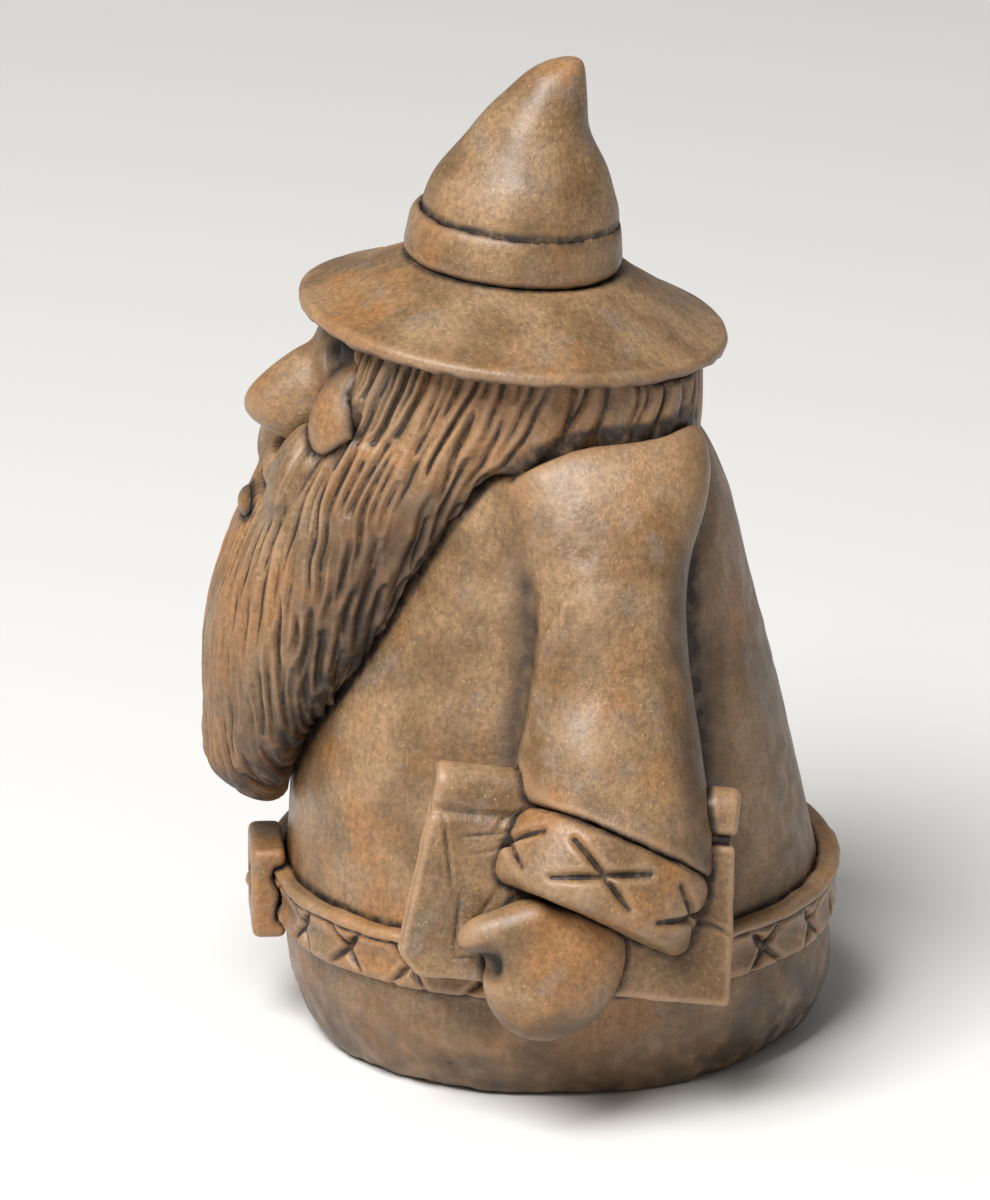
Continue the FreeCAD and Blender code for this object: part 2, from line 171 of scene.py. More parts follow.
def eased(points, edges, rounds, weight=1.0):
    """Points drawn towards their neighbours' middle, which rounds a surface off."""
    first, second = edges
    count = np.bincount(edges.ravel(), minlength=len(points))[:, None]
    for _ in range(rounds):
        total = np.stack([np.bincount(first, points[second, axis], len(points))
                          + np.bincount(second, points[first, axis], len(points))
                          for axis in range(3)], axis=1)
        points = points + weight * (total / count - points) / 2
    return points


# Colour masks kept on the vertices: how hollow or proud the surface is, how near a joint it is, where a
# dark wash and painted shade lie, and how much painted shade lies on it
FINE_ROUNDS = 5
BROAD_ROUNDS = 40
BROAD_PARTS = 3
HOLLOW_FULL = 0.12
PROUD_FULL = 0.08
JOINT_REACH = 0.9
SEAM_REACH = 2.4
SEAM_CALM = 0.6
SEAM_CALM_SPAN = (0.2, 0.7)
# How deep a broad valley is for full painted shade, and the most painted shade it gives
VALLEY_FULL = 0.9
VALLEY_MOST = 0.75


def nearness(points, node, reach):
    """1 where points touch a CAD node, fading out within the reach."""
    near = np.zeros(len(points))
    low, high = (np.array(corner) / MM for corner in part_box(node))
    inside = np.nonzero(((points > low - reach) & (points < high + reach)).all(axis=1))[0]
    if len(inside):
        form = joined_form([node])
        tree = BVHTree.FromBMesh(form)
        form.free()
        for index in inside:
            distance = tree.find_nearest(Vector(points[index]), reach)[3]
            if distance is not None:
                near[index] = 1 - distance / reach
    return near


def joint_nearness(points, nodes, reach):
    """1 where a piece touches a CAD node that isn't its own."""
    others = [nearness(points, node, reach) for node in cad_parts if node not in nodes]
    return np.max(others, axis=0)


def seam_nearness(points, nodes):
    """1 where two of a piece's own CAD nodes meet."""
    return np.sort([nearness(points, node, SEAM_REACH) for node in nodes], axis=0)[-2]


def keep_mask(mesh, name, values):
    layer = mesh.attributes.new(name, "FLOAT", "POINT")
    layer.data.foreach_set("value", np.clip(values, 0, 1).astype(np.float32))


def finish_piece(piece, nodes, points, edges, material, reach, seam, shade, valley_rounds):
    """Masks, metres, smooth shading, the material, and the piece's place in the frame."""
    mesh = piece.data
    normals = normals_of(mesh, points)
    fine = ((points - eased(points, edges, FINE_ROUNDS)) * normals).sum(axis=1)
    broad = ((points - eased(points, edges, BROAD_ROUNDS)) * normals).sum(axis=1)
    relief = fine + broad / BROAD_PARTS
    hollow = -relief / HOLLOW_FULL
    joint_wash_and_shade = joint_nearness(points, nodes, reach)
    # Painted shade along the seams where a piece's own nodes meet joins the joint mask
    if seam is not None:
        meeting = seam_nearness(points, nodes)
        joint_wash_and_shade = np.maximum(joint_wash_and_shade, meeting * seam(points))
        hollow = hollow * (1 - SEAM_CALM * rise(meeting, *SEAM_CALM_SPAN))
    # Painted shade from the piece's shade function
    painted_shade = shade(points, normals) if shade else np.zeros(len(points))
    # More painted shade in the broad valleys of the surface
    if valley_rounds:
        valley = ((eased(points, edges, valley_rounds) - points) * normals).sum(axis=1)
        painted_shade = painted_shade + np.clip(valley / VALLEY_FULL, 0, VALLEY_MOST)
    keep_mask(mesh, "hollow", hollow)
    keep_mask(mesh, "proud", relief / PROUD_FULL)
    keep_mask(mesh, "joint_wash_and_shade", joint_wash_and_shade)
    keep_mask(mesh, "shade", painted_shade)
    mesh.transform(Matrix.Scale(MM, 4))
    mesh.shade_smooth()
    mesh.materials.clear()
    mesh.materials.append(material)
    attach(piece, "root")
    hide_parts(*nodes)


def make_piece(name, nodes, material, sculpt, voxel, rounds, ease=None, ease_rounds=0, last_rounds=0,
               reach=JOINT_REACH, seam=None, shade=None, valley_rounds=0, grow=0.0):
    """Remakes CAD nodes as one piece, rounds it off and pushes its surface in and out."""
    piece = remade(name, nodes, voxel, grow)
    edges = edges_of(piece.data)
    points = eased(points_of(piece.data), edges, rounds)
    if ease is not None:
        points = eased(points, edges, ease_rounds, ease(points)[:, None])
    normals = normals_of(piece.data, points)
    points = points + normals * sculpt(points, normals)[:, None]
    points = eased(points, edges, last_rounds)
    finish_piece(piece, nodes, points, edges, material, reach, seam, shade, valley_rounds)


# Marks of hands and tools. A kind of piece has a depth for its broad and for its small marks.
BROAD_SIZE = 6.5
SMALL_SIZE = 1.9
MARK_DEPTHS = {"plain": (0.06, 0.02), "robe": (0.16, 0.05), "brim": (0.12, 0.03),
               "crown": (0.14, 0.03), "band": (0.16, 0.05), "belt": (0.16, 0.07),
               "cuff": (0.26, 0.11), "hand": (0.16, 0.05), "book": (0.20, 0.08)}
MARK_END_SHARE = 0.45
BURR_STEP_SHARE = 1.9
BURR_WIDTH_SHARE = 0.8


def hand_marks(points, seed, kind):
    """The unevenness that fingers leave in clay."""
    broad, small = MARK_DEPTHS[kind]
    return broad * lumps(points, BROAD_SIZE, seed) + small * lumps(points, SMALL_SIZE, seed + 1)


def marked(seed, kind="plain"):
    """The sculpting of a piece that has nothing but hand marks."""
    return lambda points, normals: hand_marks(points, seed, kind)


def cut_marks(places, marks, width, depth, burr):
    """Grooves scratched along straight marks, with the clay raised beside them."""
    cut = np.zeros(len(places))
    raised = np.zeros(len(places))
    for start, end in marks:
        start, end = np.array(start, float), np.array(end, float)
        along = end - start
        share = np.clip((places - start) @ along / (along @ along), 0, 1)
        away = np.linalg.norm(places - start - share[:, None] * along, axis=1)
        fade = MARK_END_SHARE + (1 - MARK_END_SHARE) * np.sin(math.pi * share)
        cut = np.maximum(cut, fade * bump_at(away, 0, width))
        burrs = bump_at(away, BURR_STEP_SHARE * width, BURR_WIDTH_SHARE * width)
        raised = np.maximum(raised, fade * burrs)
    return burr * raised * (1 - cut) - depth * cut


# Clay colours
CLAY_BROWN = (0.180, 0.100, 0.041, 1)
CLAY_TAN = (0.315, 0.190, 0.094, 1)
CLAY_ORANGE = (0.330, 0.150, 0.046, 1)
CLAY_GREY = (0.225, 0.172, 0.125, 1)
STREAK_DARK = (0.10, 0.060, 0.036, 1)
STREAK_LIGHT = (0.47, 0.30, 0.18, 1)
SPECK_LIGHT = (0.62, 0.42, 0.20, 1)
PIT_DARK = (0.070, 0.042, 0.026, 1)
WORN_LIGHT = (0.46, 0.275, 0.150, 1)
# Dark of the wash in hollows and joints, also used for painted shade
WASH_AND_SHADE_DARK = (0.022, 0.013, 0.008, 1)

# Clay layers. A noise has its size in millimetres, its detail and its roughness. A mapping has the
# low and high value that it reads, and where they aren't 0 and 1, the two that it gives for them.
PATCH_NOISE, PATCH_MAP = (7.0, 2.0), (0.35, 0.65)
WARM_NOISE, WARM_ENDS, WARM_SHIFT, WARM_MOST = (11.0, 2.5), (0.62, 0.80), 0.25, 0.75
GREY_NOISE, GREY_MAP = (4.5, 4.0, 0.65), (0.50, 0.72, 0.0, 0.65)
STREAK_NOISE, DARK_STREAK_ENDS, LIGHT_STREAK_ENDS = (0.9, 4.0, 0.7), (0.56, 0.78), (0.44, 0.26)
LIGHT_STREAK_SHARE = 0.6
MOTTLE_NOISE, MOTTLE_MAP = (0.60, 5.0, 0.75), (0.30, 0.70, 0.68, 1.26)
SPECK_NOISE, SPECK_MAP = (0.30, 1.0), (0.72, 0.77, 0.0, 0.45)
PORE_NOISE, PIT_MAP = (0.42, 3.0, 0.6), (0.36, 0.29, 0.0, 0.55)
BREAK_NOISE, BREAK_MAP = (1.6, 3.0, 0.6), (0.25, 0.65, 0.45, 1.15)
# Noise that breaks up the painted shade
PAINTED_SHADE_NOISE, PAINTED_SHADE_MAP = (2.4, 4.0, 0.65), (0.30, 0.60, 0.55, 1.2)
GLOSS_NOISE, GLOSS_MAP = (2.6, 4.0, 0.6), (0.3, 0.7, 0.36, 0.58)
GRAIN_NOISE = (0.32, 4.0, 0.7)
WORN_ENDS = (0.20, 1.0)
HOLLOW_MAP = (0.05, 0.75)
# How the joint mask maps to dark wash and painted shade between parts
JOINT_MAP = (0.15, 0.95, 0.0, 0.95)
WASH_ROUGHNESS = 0.25
SPECULAR_LEVEL = 0.45
COAT_WEIGHT = 0.30
COAT_ROUGHNESS = 0.36

# Strength of each bump, and its depth in millimetres
GRAIN_BUMP = (0.40, 0.11)
PORE_BUMP = (0.45, 0.22)
STREAK_BUMP = (0.35, 0.18)


class Nodes:
    """Short calls for adding and linking the nodes of one material."""

    def __init__(self, name):
        self.material = bpy.data.materials.new(name)
        self.material.use_nodes = True
        self.tree = self.material.node_tree
        self.shader = self.tree.nodes["Principled BSDF"]
        self.place = self.add("ShaderNodeTexCoord").outputs["Object"]

    def add(self, kind, **settings):
        node = self.tree.nodes.new(kind)
        for key, value in settings.items():
            setattr(node, key, value)
        return node

    def link(self, source, target):
        self.tree.links.new(source, target)

    def put(self, value, target):
        """A link from a socket, or a plain value."""
        if isinstance(value, bpy.types.NodeSocket):
            self.link(value, target)
        else:
            target.default_value = value

    def stretched(self, scale):
        node = self.add("ShaderNodeMapping")
        node.inputs["Scale"].default_value = scale
        self.link(self.place, node.inputs["Vector"])
        return node.outputs["Vector"]

    def noise(self, size, detail=3.0, rough=0.55, place=None):
        """Noise whose lumps are about a size across, in millimetres."""
        node = self.add("ShaderNodeTexNoise")
        node.inputs["Scale"].default_value = 1 / (size * MM)
        node.inputs["Detail"].default_value = detail
        node.inputs["Roughness"].default_value = rough
        self.link(place or self.place, node.inputs["Vector"])
        return node.outputs["Fac"]

    def between(self, value, low, high, bottom=0.0, top=1.0):
        node = self.add("ShaderNodeMapRange", interpolation_type="SMOOTHSTEP")
        self.put(value, node.inputs["Value"])
        for key, number in (("From Min", low), ("From Max", high), ("To Min", bottom), ("To Max", top)):
            node.inputs[key].default_value = number
        return node.outputs["Result"]

    def layer(self, noise, mapping):
        return self.between(self.noise(*noise), *mapping)

    def maths(self, operation, first, second, clamp=False):
        node = self.add("ShaderNodeMath", operation=operation, use_clamp=clamp)
        self.put(first, node.inputs[0])
        self.put(second, node.inputs[1])
        return node.outputs["Value"]

    def blend(self, share, first, second, kind="MIX"):
        node = self.add("ShaderNodeMix", data_type="RGBA", blend_type=kind)
        self.put(share, node.inputs["Factor"])
        self.put(first, node.inputs["A"])
        self.put(second, node.inputs["B"])
        return node.outputs["Result"]

    def mask(self, name):
        return self.add("ShaderNodeAttribute", attribute_name=name).outputs["Fac"]

    def bump(self, height, strength, distance, normal=None):
        node = self.add("ShaderNodeBump")
        node.inputs["Strength"].default_value = strength
        node.inputs["Distance"].default_value = distance * MM
        self.link(height, node.inputs["Height"])
        if normal is not None:
            self.link(normal, node.inputs["Normal"])
        return node.outputs["Normal"]


def clay(name, streak, streak_share, warmth=0.5, worn=0.5):
    """Unglazed clay with patches, streaks, bright specks, pits, a dark wash in its hollows, and painted
    shade.
    """
    n = Nodes(name)
    colour = n.blend(n.layer(PATCH_NOISE, PATCH_MAP), CLAY_BROWN, CLAY_TAN)
    warm_low, warm_high = (end - WARM_SHIFT * warmth for end in WARM_ENDS)
    colour = n.blend(n.layer(WARM_NOISE, (warm_low, warm_high, 0.0, WARM_MOST)), colour, CLAY_ORANGE)
    colour = n.blend(n.layer(GREY_NOISE, GREY_MAP), colour, CLAY_GREY)
    streaks = n.noise(*STREAK_NOISE, n.stretched(streak))
    dark_streaks = n.between(streaks, *DARK_STREAK_ENDS, 0.0, streak_share)
    colour = n.blend(dark_streaks, colour, STREAK_DARK)
    light_streaks = n.between(streaks, *LIGHT_STREAK_ENDS, 0.0, LIGHT_STREAK_SHARE * streak_share)
    colour = n.blend(light_streaks, colour, STREAK_LIGHT)
    colour = n.blend(1.0, colour, n.layer(MOTTLE_NOISE, MOTTLE_MAP), "MULTIPLY")
    colour = n.blend(n.layer(SPECK_NOISE, SPECK_MAP), colour, SPECK_LIGHT)
    pores = n.noise(*PORE_NOISE)
    colour = n.blend(n.between(pores, *PIT_MAP), colour, PIT_DARK)
    colour = n.blend(n.between(n.mask("proud"), *WORN_ENDS, 0.0, worn), colour, WORN_LIGHT)
    breaks = n.layer(BREAK_NOISE, BREAK_MAP)
    hollow = n.between(n.mask("hollow"), *HOLLOW_MAP)
    joint_wash_and_shade = n.between(n.mask("joint_wash_and_shade"), *JOINT_MAP)
    # Painted shade from the shade mask
    painted_shade = n.maths("MULTIPLY", n.mask("shade"), n.layer(PAINTED_SHADE_NOISE, PAINTED_SHADE_MAP))
    dark = n.maths("MULTIPLY", n.maths("MAXIMUM", hollow, joint_wash_and_shade), breaks, clamp=True)
    dark = n.maths("MAXIMUM", dark, painted_shade, clamp=True)
    colour = n.blend(dark, colour, WASH_AND_SHADE_DARK)
    n.link(colour, n.shader.inputs["Base Color"])
    gloss = n.layer(GLOSS_NOISE, GLOSS_MAP)
    rough = n.maths("ADD", gloss, n.maths("MULTIPLY", dark, WASH_ROUGHNESS), clamp=True)
    n.link(rough, n.shader.inputs["Roughness"])
    n.shader.inputs["Specular IOR Level"].default_value = SPECULAR_LEVEL
    n.shader.inputs["Coat Weight"].default_value = COAT_WEIGHT
    n.shader.inputs["Coat Roughness"].default_value = COAT_ROUGHNESS
    grain = n.bump(n.noise(*GRAIN_NOISE), *GRAIN_BUMP)
    grain = n.bump(pores, *PORE_BUMP, grain)
    grain = n.bump(streaks, *STREAK_BUMP, grain)
    n.link(grain, n.shader.inputs["Normal"])
    return n.material


UPRIGHT = (1.0, 1.0, 0.10)
robe_clay = clay("robe_clay", streak=UPRIGHT, streak_share=0.45)
hair_clay = clay("hair_clay", streak=UPRIGHT, streak_share=0.55, warmth=0.8)
face_clay = clay("face_clay", streak=(0.6, 0.3, 0.6), streak_share=0.25, warmth=0.9)
hat_clay = clay("hat_clay", streak=(0.35, 0.35, 1.0), streak_share=0.45, worn=0.2)
book_clay = clay("book_clay", streak=(1.0, 0.5, 0.3), streak_share=0.45)
band_clay = clay("band_clay", streak=(0.4, 0.4, 1.0), streak_share=0.35, warmth=0.7, worn=0.3)

# Painted shade: surfaces that face down are darker, robe and hair by one span, hat brim and hands by
# another.
UNDER_SPAN = (0.1, 0.7)
BRIM_UNDER_SPAN = (0.0, 0.6)
BRIM_UNDER_PAINTED_SHADE = 0.55


def under_shade(points, normals):
    return BRIM_UNDER_PAINTED_SHADE * rise(-normals[:, 2], *BRIM_UNDER_SPAN)


# Robe with its sleeves, one body of clay with the shoulders worked into it
FOOT_LUMP_HEIGHTS = (3.0, 9.0)
FOOT_BROAD, FOOT_BROAD_SIZE = 0.22, 2.8
FOOT_SMALL, FOOT_SMALL_SIZE = 0.10, 1.1
PIT_DEPTH, PIT_SIZE = 0.14, 1.5
PIT_PATCH_SIZE, PIT_PATCH_SPAN = 7.0, (0.0, 0.5)
SHOULDER_HEIGHTS = (46.0, 60.0)
# Painted shade along the seam between sleeve and robe, fading out upwards
SEAM_PAINTED_SHADE, SEAM_HEIGHTS = 0.40, (34.0, 50.0)
# Heights over which the painted shade at the foot fades
FOOT_PAINTED_SHADE_HEIGHTS = (0.5, 12.0)
UNDER_HEIGHTS = (12.0, 20.0)
BACK_PLACES = (10.0, 22.0)
SLEEVE_REACH, ON_SLEEVE_SPAN = 7.0, (0.90, 0.97)
BEHIND_PLACES, BEHIND_HEIGHTS = (3.0, 9.0), (48.0, 60.0)
SLEEVE_BACK_SPAN = (0.2, 0.9)
# How much painted shade each part of the robe gets
ROBE_PAINTED_SHADE = {"foot": 0.60, "under": 0.35, "back": 0.35, "gap": 0.70, "sleeve_back": 0.50}


def robe_sculpt(points, normals):
    push = hand_marks(points, 11, "robe")
    low = 1 - rise(points[:, 2], *FOOT_LUMP_HEIGHTS)
    foot = FOOT_BROAD * lumps(points, FOOT_BROAD_SIZE, 13) + FOOT_SMALL * lumps(points, FOOT_SMALL_SIZE, 16)
    pits = np.minimum(lumps(points, PIT_SIZE, 14), 0)
    pits = pits * rise(lumps(points, PIT_PATCH_SIZE, 15), *PIT_PATCH_SPAN)
    return push + low * foot + PIT_DEPTH * pits


def shoulder_weight(points):
    return rise(points[:, 2], *SHOULDER_HEIGHTS)


# Painted shade along the sleeve seam, fading out upwards
def sleeve_seam(points):
    return SEAM_PAINTED_SHADE - SEAM_PAINTED_SHADE * rise(points[:, 2], *SEAM_HEIGHTS)


def robe_shade(points, normals):
    """Painted shade at the foot, under the arms and down the back, and a painted shadow behind the arms."""
    foot = 1 - rise(points[:, 2], *FOOT_PAINTED_SHADE_HEIGHTS)
    under = rise(-normals[:, 2], *UNDER_SPAN) * rise(points[:, 2], *UNDER_HEIGHTS)
    back = rise(points[:, 1], *BACK_PLACES)
    near = np.maximum(nearness(points, "left_sleeve", SLEEVE_REACH),
                      nearness(points, "right_sleeve", SLEEVE_REACH))
    on_sleeve = rise(near, *ON_SLEEVE_SPAN)
    behind = rise(points[:, 1], *BEHIND_PLACES) * (1 - rise(points[:, 2], *BEHIND_HEIGHTS))
    gap = near * (1 - on_sleeve) * behind
    sleeve_back = on_sleeve * rise(normals[:, 1], *SLEEVE_BACK_SPAN) * behind
    return (ROBE_PAINTED_SHADE["foot"] * foot + ROBE_PAINTED_SHADE["under"] * under + ROBE_PAINTED_SHADE["back"] * back
            + ROBE_PAINTED_SHADE["gap"] * gap + ROBE_PAINTED_SHADE["sleeve_back"] * sleeve_back)


# Hair and beard, one body of clay with strands cut into it from under the brim to the beard's tip.
# Each middle is a height and the Y place of the axis that the strands go round at that height.
STRAND_MIDDLES = [(21.4, -19.5), (26.0, -20.3), (30.0, -20.8), (35.0, -21.0), (40.0, -21.0),
                  (45.0, -20.6), (50.0, -19.8), (55.0, -18.5), (60.0, -16.5), (66.0, -14.0), (73.0, -12.0)]
HAIR_TOP = 72.0
HAIR_LOW = 21.5
HAIR_LUMPS, HAIR_LUMP_SIZE = 0.12, 3.6
STRAND_STEP = 1.05
STRAND_RADIUS = 16.0
STRAND_LONG = (4.0, 13.0)
STRAND_GAP = (0.3, 1.8)
STRAND_WIDTH = (0.26, 0.42)
STRAND_DEPTH = (0.40, 1.00)
STRAND_STRAY_SHARE = 0.35
STRAND_TOP_DROP = 3
STRAND_TURN_REACH = 0.30
STRAND_LEAN = 0.005
STRAND_OFFSET = 0.02
STRAND_LEAST_AWAY = 4.0
STRAND_TAPER = 0.6
STRAND_CUT_SHARE = 0.85
STRAND_LEAST_SHARE = 0.38
DEEP_TURNS, DEEP_LOW_HEIGHTS, DEEP_HIGH_HEIGHTS = (0.5, 1.5), (25.0, 37.0), (56.0, 64.0)
FLOW_SHARE = 0.6
SWAY_BROAD, SWAY_BROAD_SIZE = 0.034, 7.0
SWAY_SMALL, SWAY_SMALL_SIZE = 0.012, 2.6
RIDGE_HEIGHT, RIDGE_SWAY, RIDGE_SWAY_SIZE = 0.12, 2.0, 3.0
MOUTH_HEIGHT = 53.2
MOUTH_REACH = 4.2
MOUTH_END = 1
MOUTH_HALF = 0.55
MOUTH_DEPTH = 0.9
MOUTH_BACK = -18
LOBE_REACH, LOBE_CALM = 1.2, 0.8
LEDGE_LOW_HEIGHTS, LEDGE_HIGH_HEIGHTS, LEDGE_PLACES = (54.0, 57.0), (63.0, 66.0), (-19.0, -15.0)
TIP_HEIGHTS = (22.0, 25.0)
HAIR_BACK_TURNS, HAIR_BACK_HEIGHTS = (1.05, 1.6), (54.0, 62.0)
HAIR_LOW_TURNS, HAIR_LOW_HEIGHTS = (0.3, 1.3), (24.0, 42.0)
HAIR_BRIM_TURNS, HAIR_BRIM_HEIGHTS = (0.7, 1.6), (61.0, 67.0)
HAIR_FRONT_HEIGHTS = (26.0, 60.0)
# How much painted shade each part of hair and beard gets
HAIR_PAINTED_SHADE = {"back": 0.50, "low": 0.55, "under": 0.5, "brim": 0.25, "front": 0.25}


def strand_places(points):
    """The turn round the middle of beard and head from straight ahead, and the distance from it."""
    heights, middles = zip(*STRAND_MIDDLES)
    ahead = np.interp(points[:, 2], heights, middles) - points[:, 1]
    turn = np.arctan2(points[:, 0], ahead)
    return turn, np.hypot(points[:, 0], ahead)


def strand_depth(turn, height):
    """Strands are deepest towards the beard's back edges, its tip and the brim."""
    back = rise(np.abs(turn), *DEEP_TURNS)
    low = 1 - rise(height, *DEEP_LOW_HEIGHTS)
    high = rise(height, *DEEP_HIGH_HEIGHTS)
    return STRAND_LEAST_SHARE + (1 - STRAND_LEAST_SHARE) * np.maximum(back, np.maximum(low, high))


def strand_cuts(turn, away, height, columns):
    """Short cuts below each other in columns round the head, each with its own length and lean."""
    chance = np.random.default_rng(24)
    cut = np.zeros(len(turn))
    for column in range(columns):
        stray = chance.uniform(-STRAND_STRAY_SHARE, STRAND_STRAY_SHARE)
        middle = -math.pi + 2 * math.pi * (column + stray) / columns
        top = HAIR_TOP - chance.uniform(0, STRAND_TOP_DROP)
        picked_column = np.nonzero(np.abs(turn - middle) < STRAND_TURN_REACH)[0]
        while top > HAIR_LOW:
            length = chance.uniform(*STRAND_LONG)
            width = chance.uniform(*STRAND_WIDTH)
            depth = chance.uniform(*STRAND_DEPTH)
            lean = chance.uniform(-STRAND_LEAN, STRAND_LEAN)
            offset = chance.uniform(-STRAND_OFFSET, STRAND_OFFSET)
            low = top - length
            picked = picked_column[(height[picked_column] < top) & (height[picked_column] > low)]
            if len(picked):
                share = (top - height[picked]) / length
                line = middle + offset + lean * (height[picked] - top)
                sideways = (turn[picked] - line) * np.maximum(away[picked], STRAND_LEAST_AWAY)
                taper = np.clip(4 * share * (1 - share), 0, 1) ** STRAND_TAPER
                cut[picked] = np.maximum(cut[picked], depth * taper * bump_at(sideways, 0, width))
            top = low - chance.uniform(*STRAND_GAP)
    return cut


def hair_sculpt(points, normals):
    turn, away = strand_places(points)
    height = points[:, 2]
    flow = np.stack([turn * STRAND_RADIUS * FLOW_SHARE, np.zeros(len(points)), height], axis=1)
    sway = SWAY_BROAD * lumps(flow, SWAY_BROAD_SIZE, 21)
    turn = turn + sway + SWAY_SMALL * lumps(flow, SWAY_SMALL_SIZE, 22)
    push = HAIR_LUMPS * lumps(points, HAIR_LUMP_SIZE, 23)
    columns = int(2 * math.pi * STRAND_RADIUS / STRAND_STEP)
    cut = strand_cuts(turn, away, height, columns)
    deep = strand_depth(turn, height)
    ridges = RIDGE_HEIGHT * np.cos(turn * columns / 2 + RIDGE_SWAY * lumps(flow, RIDGE_SWAY_SIZE, 25))
    mouth = bump_at(height, MOUTH_HEIGHT, MOUTH_HALF) * (points[:, 1] < MOUTH_BACK)
    mouth = mouth * (1 - rise(np.abs(points[:, 0]), MOUTH_REACH - MOUTH_END, MOUTH_REACH))
    lobes = np.maximum(nearness(points, "left_moustache", LOBE_REACH),
                       nearness(points, "right_moustache", LOBE_REACH))
    deep = deep * (1 - np.maximum(mouth, LOBE_CALM * lobes))
    return push + (ridges - STRAND_CUT_SHARE * cut) * deep - MOUTH_DEPTH * mouth


def ledge_weight(points):
    """Where hair and beard are rounded off more: the ledge beside the face, and the beard's tip."""
    height = points[:, 2]
    ledge = rise(height, *LEDGE_LOW_HEIGHTS) * (1 - rise(height, *LEDGE_HIGH_HEIGHTS))
    return np.maximum(ledge * rise(points[:, 1], *LEDGE_PLACES), 1 - rise(height, *TIP_HEIGHTS))


def hair_shade(points, normals):
    """Painted shade at the back, low on the beard, under it and under the brim, and more of it lower down.
    """
    turn = np.abs(strand_places(points)[0])
    height = points[:, 2]
    back = rise(turn, *HAIR_BACK_TURNS) * (1 - rise(height, *HAIR_BACK_HEIGHTS))
    low = (1 - rise(height, *HAIR_LOW_HEIGHTS)) * rise(turn, *HAIR_LOW_TURNS)
    under = rise(-normals[:, 2], *UNDER_SPAN)
    brim = rise(height, *HAIR_BRIM_HEIGHTS) * rise(turn, *HAIR_BRIM_TURNS)
    front = 1 - rise(height, *HAIR_FRONT_HEIGHTS)
    return (HAIR_PAINTED_SHADE["back"] * back + HAIR_PAINTED_SHADE["low"] * low + HAIR_PAINTED_SHADE["under"] * under
            + HAIR_PAINTED_SHADE["brim"] * brim + HAIR_PAINTED_SHADE["front"] * front)


# Face, one body of clay with nose, cheeks and eyes
EYE_MIDDLE = (5.8, -20.2, 67.4)
EYE_HOLLOW = 3.0
# Painted shade round the eyes, under the brim
EYE_PAINTED_SHADE = 1.5


def face_shade(points, normals):
    """Painted shade in a hollow round each eye."""
    from_eye = np.linalg.norm(np.abs(points * (1, 0, 0)) + points * (0, 1, 1) - EYE_MIDDLE, axis=1)
    return EYE_PAINTED_SHADE * bump_at(from_eye, 0, EYE_HOLLOW)


# Hat brim, rougher underneath
BRIM_ROUGH, BRIM_ROUGH_SIZE, BRIM_ROUGH_SPAN = 0.20, 1.2, (0.2, 0.8)


def brim_sculpt(points, normals):
    under = rise(-normals[:, 2], *BRIM_ROUGH_SPAN)
    return hand_marks(points, 41, "brim") + BRIM_ROUGH * under * lumps(points, BRIM_ROUGH_SIZE, 43)


# Belt, with crosses scratched round it and a wavy rim
BELT_CROSSES = 23
BELT_FIRST_CROSS = math.radians(9.4)
BELT_RADIUS = 26.4
BELT_STRAY = 0.3
BELT_CROSS_HALF = (1.6, 2.0)
BELT_CROSS_FOOT = (0.2, 0.6)
BELT_CROSS_TOP = (1.3, 1.6)
BELT_CROSS_SKEW = (0.8, 1.1)
BELT_GROOVE = {"width": 0.36, "depth": 0.72, "burr": 0.05}
RIM_DROP, RIM_WAVE, RIM_WAVE_SIZE = 1.15, 0.22, 3.1
RIM_GAP, RIM_GAP_HALF = 0.38, 0.26
RIM_PUSH, RIM_PUSH_SIZE, RIM_PUSH_HEIGHT = 0.20, 2.4, 2


def belt_sculpt(points, normals):
    low, high = (corner.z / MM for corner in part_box("belt"))
    turn = np.arctan2(points[:, 0], -points[:, 1])
    places = np.stack([turn * BELT_RADIUS, points[:, 2]], axis=1)
    chance = np.random.default_rng(71)
    marks = []
    for cross in range(BELT_CROSSES):
        middle = BELT_FIRST_CROSS + 2 * math.pi * cross / BELT_CROSSES
        middle = (middle + math.pi) % (2 * math.pi) - math.pi
        across = middle * BELT_RADIUS + chance.uniform(-BELT_STRAY, BELT_STRAY)
        half = chance.uniform(*BELT_CROSS_HALF)
        bottom = low + chance.uniform(*BELT_CROSS_FOOT)
        top = high - chance.uniform(*BELT_CROSS_TOP)
        marks.append(((across - half, bottom), (across + half * chance.uniform(*BELT_CROSS_SKEW), top)))
        marks.append(((across + half, bottom), (across - half * chance.uniform(*BELT_CROSS_SKEW), top)))
    flow = places[:, [0, 1, 1]] * (1, 0, 0)
    rim = high - RIM_DROP + RIM_WAVE * lumps(flow, RIM_WAVE_SIZE, 74)
    wavy = RIM_PUSH * lumps(points, RIM_PUSH_SIZE, 72) * rise(points[:, 2], high - RIM_PUSH_HEIGHT, high)
    gap = RIM_GAP * bump_at(points[:, 2], rim, RIM_GAP_HALF)
    return wavy + hand_marks(points, 73, "belt") + cut_marks(places, marks, **BELT_GROOVE) - gap


